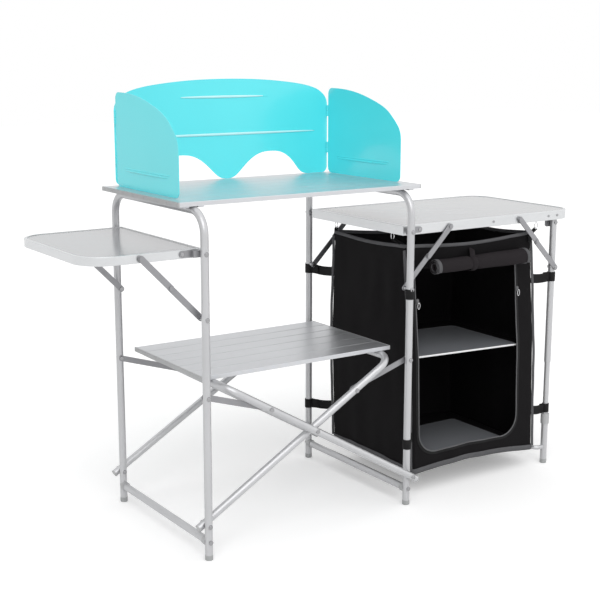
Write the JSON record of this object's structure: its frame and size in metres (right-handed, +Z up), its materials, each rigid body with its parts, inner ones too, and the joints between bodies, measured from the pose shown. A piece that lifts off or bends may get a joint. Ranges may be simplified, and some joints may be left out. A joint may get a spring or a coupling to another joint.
{
  "type": "camping kitchen table",
  "caption": "Folding camp kitchen stand with slatted top and shelf, folding windshield, drop-down side tray and a cupboard table with a zipped fabric cupboard.",
  "frame": {"origin": "middle of the footprint, on the floor", "axes": "+X along the table towards the cupboard, +Y to the windshield at the back, +Z up"},
  "size_m": [1.438, 0.479, 1.0593],
  "materials": {
    "left_leg_frame": "satin",
    "left_low_rail": "satin",
    "left_rail_plugs": "matte light grey",
    "left_feet": "matte light grey",
    "left_frame_rivets": "polished rivet",
    "right_leg_frame": "satin",
    "right_low_rail": "satin",
    "right_rail_plugs": "matte light grey",
    "right_feet": "matte light grey",
    "right_frame_rivets": "polished rivet",
    "scissor_arm_b": "satin",
    "scissor_arm_a": "satin",
    "arm_b_caps": "matte light grey",
    "arm_a_caps": "matte light grey",
    "arm_b_rivets": "polished rivet",
    "arm_a_rivets": "polished rivet",
    "left_links": "satin",
    "right_links": "satin",
    "main_top_slats": "fine brushed, satin",
    "main_top_caps": "matte light grey",
    "main_top_battens": "fine brushed, satin",
    "shelf_slats": "fine brushed, satin",
    "shelf_caps": "matte light grey",
    "shelf_battens": "fine brushed, satin",
    "shelf_clips": "matte light grey",
    "tray_rim": "satin grey edge",
    "tray_board": "glossy grey laminate on fibreboard",
    "tray_brackets": "satin",
    "tray_rivets": "polished rivet",
    "tray_lower_struts": "satin",
    "tray_upper_struts": "satin",
    "table_rim": "satin grey edge",
    "table_board": "glossy grey laminate on fibreboard",
    "table_brackets": "satin",
    "table_rivets": "polished rivet",
    "table_lower_struts": "satin",
    "table_upper_struts": "satin",
    "table_ears": "satin",
    "outer_legs": "satin",
    "outer_lower_legs": "satin",
    "front_button": "black",
    "rear_button": "black",
    "outer_collars": "matte light grey",
    "outer_feet": "matte light grey",
    "outer_low_rail": "satin",
    "cupboard_bag": "black woven nylon",
    "bag_floor_board": "dark grey board",
    "bag_mid_board": "dark grey board",
    "door_roll": "black-brown mesh and cloth",
    "roll_tie": "black webbing",
    "zip_tapes": "black woven nylon",
    "left_zip_slider": "black",
    "right_zip_slider": "black",
    "leg_straps": "black webbing",
    "low_strap_loops": "black webbing",
    "bag_hooks": "polished rivet",
    "windshield_back": "light turquoise, semi-gloss",
    "windshield_pins": "polished rivet",
    "windshield_left_wing": "light turquoise, semi-gloss",
    "windshield_right_wing": "light turquoise, semi-gloss"
  },
  "bodies": {
    "left_frame": {"left_leg_frame": "left_leg_frame", "left_low_rail": "left_low_rail", "left_rail_plugs": "left_rail_plugs", "left_feet": "left_feet", "left_frame_rivets": "left_frame_rivets", "tray_brackets": "tray_brackets", "tray_rivets": "tray_rivets"},
    "scissor_b": {"scissor_arm_b": "scissor_arm_b", "arm_b_caps": "arm_b_caps", "arm_b_rivets": "arm_b_rivets"},
    "scissor_a": {"scissor_arm_a": "scissor_arm_a", "arm_a_caps": "arm_a_caps", "arm_a_rivets": "arm_a_rivets"},
    "left_link_pair": {"left_links": "left_links"},
    "right_link_pair": {"right_links": "right_links"},
    "right_frame": {"right_leg_frame": "right_leg_frame", "right_low_rail": "right_low_rail", "right_rail_plugs": "right_rail_plugs", "right_feet": "right_feet", "right_frame_rivets": "right_frame_rivets", "table_rim": "table_rim", "table_board": "table_board", "table_brackets": "table_brackets", "table_rivets": "table_rivets", "table_lower_struts": "table_lower_struts", "table_upper_struts": "table_upper_struts", "table_ears": "table_ears", "outer_legs": "outer_legs", "cupboard_bag": "cupboard_bag", "bag_floor_board": "bag_floor_board", "bag_mid_board": "bag_mid_board", "door_roll": "door_roll", "roll_tie": "roll_tie", "zip_tapes": "zip_tapes", "leg_straps": "leg_straps", "bag_hooks": "bag_hooks"},
    "outer_lower": {"outer_lower_legs": "outer_lower_legs", "outer_collars": "outer_collars", "outer_feet": "outer_feet", "outer_low_rail": "outer_low_rail", "low_strap_loops": "low_strap_loops"},
    "front_leg_button": {"front_button": "front_button"},
    "rear_leg_button": {"rear_button": "rear_button"},
    "left_zip": {"left_zip_slider": "left_zip_slider"},
    "right_zip": {"right_zip_slider": "right_zip_slider"},
    "lower_shelf": {"shelf_slats": "shelf_slats", "shelf_caps": "shelf_caps", "shelf_battens": "shelf_battens", "shelf_clips": "shelf_clips"},
    "main_top": {"main_top_slats": "main_top_slats", "main_top_caps": "main_top_caps", "main_top_battens": "main_top_battens"},
    "windshield_panel": {"windshield_back": "windshield_back", "windshield_pins": "windshield_pins"},
    "left_wing": {"windshield_left_wing": "windshield_left_wing"},
    "right_wing": {"windshield_right_wing": "windshield_right_wing"},
    "tray": {"tray_rim": "tray_rim", "tray_board": "tray_board"},
    "tray_lower_link_pair": {"tray_lower_struts": "tray_lower_struts"},
    "tray_upper_link_pair": {"tray_upper_struts": "tray_upper_struts"}
  },
  "joints": [
    {"name": "scissor_fold", "type": "hinge", "parent": "left_frame", "child": "scissor_b", "pos_m": [-0.453, -0.01, 0.08], "axis": [0, -1, 0], "range_deg": [0, 39]},
    {"name": "scissor_cross", "type": "hinge", "parent": "scissor_b", "child": "scissor_a", "pos_m": [-0.1605, -0.01, 0.25164], "axis": [0, -1, 0], "range_deg": [-79, 0.5]},
    {"name": "right_frame_foot", "type": "hinge", "parent": "scissor_a", "child": "right_frame", "pos_m": [0.132, -0.01, 0.08], "axis": [0, -1, 0], "range_deg": [-0.5, 40]},
    {"name": "left_link_hinge", "type": "hinge", "parent": "left_frame", "child": "left_link_pair", "pos_m": [-0.453, -0.01, 0.37857], "axis": [0, -1, 0], "range_deg": [-0.5, 85.54]},
    {"name": "right_link_hinge", "type": "hinge", "parent": "right_frame", "child": "right_link_pair", "pos_m": [0.132, -0.01, 0.37857], "axis": [0, -1, 0], "range_deg": [-85.54, 0.5]},
    {"name": "shelf_level", "type": "hinge", "parent": "scissor_b", "child": "lower_shelf", "pos_m": [0.077, -0.01, 0.391], "axis": [0, -1, 0], "range_deg": [-40, 0.5]},
    {"name": "main_top_lift", "type": "slide", "parent": "left_frame", "child": "main_top", "axis": [0, 0, 1], "range_m": [0, 0.3]},
    {"name": "windshield_lift", "type": "slide", "parent": "main_top", "child": "windshield_panel", "axis": [0, 0, 1], "range_m": [0, 0.15]},
    {"name": "left_wing_swing", "type": "hinge", "parent": "windshield_panel", "child": "left_wing", "pos_m": [-0.462, 0.1755, 0.8103], "axis": [0, 0, 1], "range_deg": [-90, 90]},
    {"name": "right_wing_swing", "type": "hinge", "parent": "windshield_panel", "child": "right_wing", "pos_m": [0.153, 0.1755, 0.8103], "axis": [0, 0, 1], "range_deg": [-90, 90]},
    {"name": "tray_fold", "type": "hinge", "parent": "left_frame", "child": "tray", "pos_m": [-0.496, -0.01, 0.7005], "axis": [0, 1, 0], "range_deg": [-90, 0]},
    {"name": "tray_lower_link", "type": "hinge", "parent": "left_frame", "child": "tray_lower_link_pair", "pos_m": [-0.453, -0.01, 0.556], "axis": [0, 1, 0], "range_deg": [-0.68, 68.9]},
    {"name": "tray_knee", "type": "hinge", "parent": "tray_lower_link_pair", "child": "tray_upper_link_pair", "pos_m": [-0.526, -0.01, 0.63028], "axis": [0, 1, 0], "range_deg": [-145.58, 1.44]},
    {"name": "lower_legs_slide", "type": "slide", "parent": "right_frame", "child": "outer_lower", "axis": [0, 0, 1], "range_m": [0, 0.042]},
    {"name": "front_button_press", "type": "slide", "parent": "outer_lower", "child": "front_leg_button", "axis": [-1, 0, 0], "range_m": [0, 0.0025], "stiffness_N_per_m": 300},
    {"name": "rear_button_press", "type": "slide", "parent": "outer_lower", "child": "rear_leg_button", "axis": [-1, 0, 0], "range_m": [0, 0.0025], "stiffness_N_per_m": 300},
    {"name": "left_zip_run", "type": "slide", "parent": "right_frame", "child": "left_zip", "axis": [0, 0, -1], "range_m": [0, 0.335]},
    {"name": "right_zip_run", "type": "slide", "parent": "right_frame", "child": "right_zip", "axis": [0, 0, -1], "range_m": [0, 0.335]}
  ],
  "couplings": [
    {"joint": "scissor_cross", "follows": "scissor_fold", "ratio": -2},
    {"joint": "right_frame_foot", "follows": "scissor_fold", "ratio": 1},
    {"joint": "left_link_hinge", "follows": "scissor_fold", "ratio": 2.1678},
    {"joint": "right_link_hinge", "follows": "scissor_fold", "ratio": -2.1678},
    {"joint": "shelf_level", "follows": "scissor_fold", "ratio": -1},
    {"joint": "tray_lower_link", "follows": "tray_fold", "ratio": -0.75792},
    {"joint": "tray_knee", "follows": "tray_fold", "ratio": 1.6016}
  ]
}
